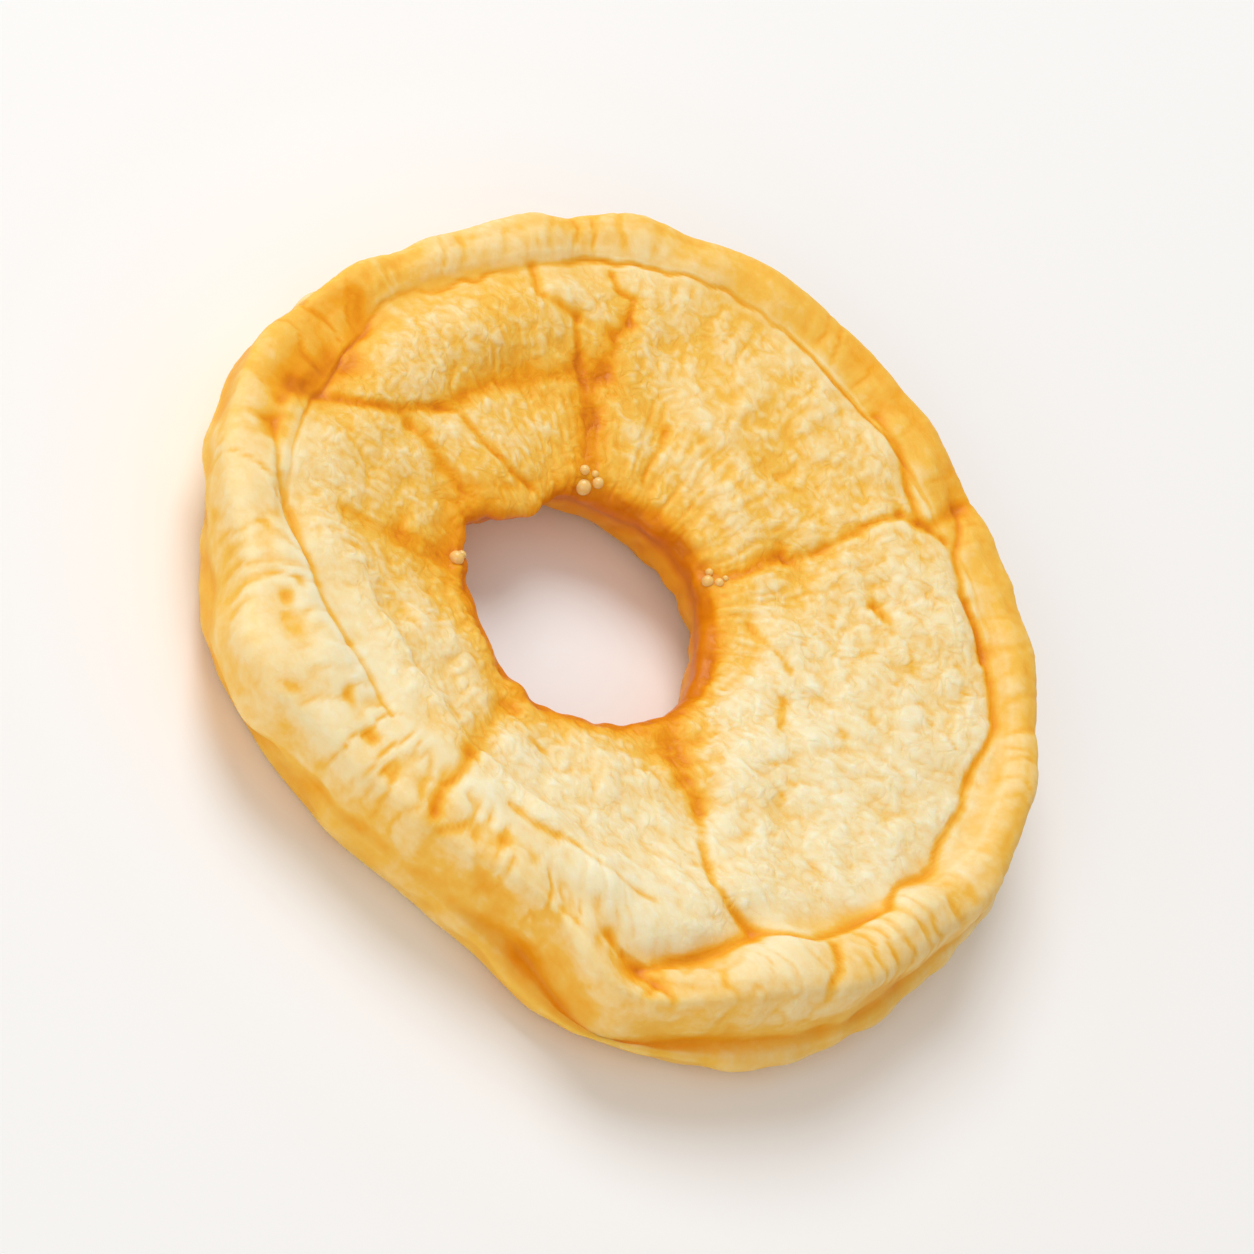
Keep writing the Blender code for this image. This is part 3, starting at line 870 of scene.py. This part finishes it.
raised = add_node(
    flesh,
    "ShaderNodeBump",
    {"invert": True},
    {"Strength": 0.4, "Distance": WRINKLE_HEIGHT},
    {"Height": wrinkles.outputs[0], "Normal": grained.outputs["Normal"]},
)
flesh_shader = add_node(
    flesh,
    "ShaderNodeBsdfPrincipled",
    inputs={
        "IOR": 1.45,
        "Subsurface Weight": 0.4,
        "Subsurface Radius": (0.9, 0.6, 0.25),
        "Subsurface Scale": LIGHT_REACH,
        "Specular IOR Level": 0.22,
    },
    links={
        "Base Color": flesh_ramp.outputs["Color"],
        "Roughness": gloss.outputs["Result"],
        "Normal": raised.outputs["Normal"],
    },
)
add_node(
    flesh,
    "ShaderNodeOutputMaterial",
    links={"Surface": flesh_shader.outputs["BSDF"]},
)
ring_mesh.materials.append(flesh)
ring = bpy.data.objects.new("dried_apple_ring", ring_mesh)
bpy.context.scene.collection.objects.link(ring)
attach(ring, "root")
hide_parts("apple_ring")

# Dried juice beads
# Juice that seeped out at the hole's edge, where the creases start, and dried there as small
# amber beads of sugar. Each bead is a ball sunk half into the flesh: its place in plan and its
# radius, in millimetres.
JUICE_BEADS = (
    (-9.2, 3.9, 0.6),
    (-8.6, 4.7, 0.42),
    (-9.9, 4.5, 0.38),
    (-9.3, 5.0, 0.26),
    (1.6, 5.8, 0.45),
    (2.3, 6.2, 0.36),
    (1.3, 6.6, 0.3),
    (2.4, 7.0, 0.24),
    (-11.8, -9.3, 0.55),
    (-11.5, -8.3, 0.35),
)
BEAD_STEPS = (2.5, 12)
BEAD_COLOUR = "#f6c878"
top_points = points[(step > BEAD_STEPS[0]) & (step < BEAD_STEPS[1])]
plan_shift = (ring_low + ring_high)[:2] / 2 - middle[:2]
beads_bm = bmesh.new()
for x, y, radius in JUICE_BEADS:
    spot = np.array((x, y)) * MM + plan_shift
    nearest = np.hypot(*(top_points[:, :2] - spot).T).argmin()
    place = Matrix.Translation(Vector(top_points[nearest]))
    bmesh.ops.create_icosphere(beads_bm, subdivisions=3, radius=radius * MM, matrix=place)
beads_mesh = bpy.data.meshes.new("dried_juice_beads")
beads_bm.to_mesh(beads_mesh)
beads_bm.free()
beads_mesh.shade_smooth()
juice = bpy.data.materials.new("dried_amber_juice")
juice.use_nodes = True
juice_shader = juice.node_tree.nodes["Principled BSDF"]
juice_shader.inputs["Base Color"].default_value = linear(BEAD_COLOUR)
juice_shader.inputs["Roughness"].default_value = 0.22
juice_shader.inputs["Subsurface Weight"].default_value = 0.4
juice_shader.inputs["Subsurface Radius"].default_value = (1.0, 0.6, 0.2)
juice_shader.inputs["Subsurface Scale"].default_value = 0.6 * MM
beads_mesh.materials.append(juice)
beads = bpy.data.objects.new("dried_juice_beads", beads_mesh)
bpy.context.scene.collection.objects.link(beads)
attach(beads, "root")

# The table, the light and the camera
# A plain white table top, lit by a broad soft light from behind and above and by white walls all
# round. The camera looks down on the ring at the angle of the photograph, turned as it is there.
TABLE_SIZE = 3.0
TABLE_COLOUR = "#faf9f8"
table_bm = bmesh.new()
bmesh.ops.create_grid(table_bm, x_segments=1, y_segments=1, size=TABLE_SIZE / 2)
table_mesh = bpy.data.meshes.new("table_top")
table_bm.to_mesh(table_mesh)
table_bm.free()
table_paint = bpy.data.materials.new("white_matte_laminate")
table_paint.use_nodes = True
table_shader = table_paint.node_tree.nodes["Principled BSDF"]
table_shader.inputs["Base Color"].default_value = linear(TABLE_COLOUR)
table_shader.inputs["Roughness"].default_value = 0.7
table_mesh.materials.append(table_paint)
table = bpy.data.objects.new("table_top", table_mesh)
bpy.context.scene.collection.objects.link(table)

LOOK_AT = Vector((0, 0, 3.5 * MM))
VIEW_ELEVATION = 47
VIEW_ROLL = 45
LENS = 500
SENSOR = 36
FRAME_WIDTH = 88 * MM
view_distance = FRAME_WIDTH * LENS / SENSOR
camera_data = bpy.data.cameras.new("camera")
camera_data.lens = LENS
camera_data.sensor_width = SENSOR
camera_data.clip_start = 0.01
camera_data.clip_end = 20
camera = bpy.data.objects.new("camera", camera_data)
tilt = Matrix.Rotation(math.radians(90 - VIEW_ELEVATION), 4, "X")
roll = Matrix.Rotation(math.radians(VIEW_ROLL), 4, "Z")
stand_off = Matrix.Translation((0, 0, view_distance))
camera.matrix_world = Matrix.Translation(LOOK_AT) @ tilt @ roll @ stand_off
bpy.context.scene.collection.objects.link(camera)
bpy.context.scene.camera = camera

# Lights: name, azimuth it comes from, elevation, distance, size, watts
LIGHTS = (
    ("window", 148, 50, 0.8, 0.5, 3.8),
    ("front", 262, 30, 0.9, 0.9, 2.5),
)
LIGHT_COLOUR = "#f5faff"
WALL_COLOUR = "#fff7ee"
WALL_STRENGTH = 0.48
for name, azimuth, elevation, distance, size, watts in LIGHTS:
    light_data = bpy.data.lights.new(name, "AREA")
    light_data.shape = "DISK"
    light_data.size = size
    light_data.energy = watts
    light_data.color = linear(LIGHT_COLOUR)[:3]
    light = bpy.data.objects.new(name, light_data)
    reach = math.cos(math.radians(elevation)) * distance
    spot = Vector((
        reach * math.cos(math.radians(azimuth)),
        reach * math.sin(math.radians(azimuth)),
        math.sin(math.radians(elevation)) * distance,
    ))
    light.location = spot
    light.rotation_euler = (-spot).to_track_quat("-Z", "Y").to_euler()
    bpy.context.scene.collection.objects.link(light)
room_light = bpy.data.worlds.new("white_room")
room_light.use_nodes = True
wall_light = room_light.node_tree.nodes["Background"]
wall_light.inputs["Color"].default_value = linear(WALL_COLOUR)
wall_light.inputs["Strength"].default_value = WALL_STRENGTH
bpy.context.scene.world = room_light
bpy.context.scene.view_settings.view_transform = "Standard"
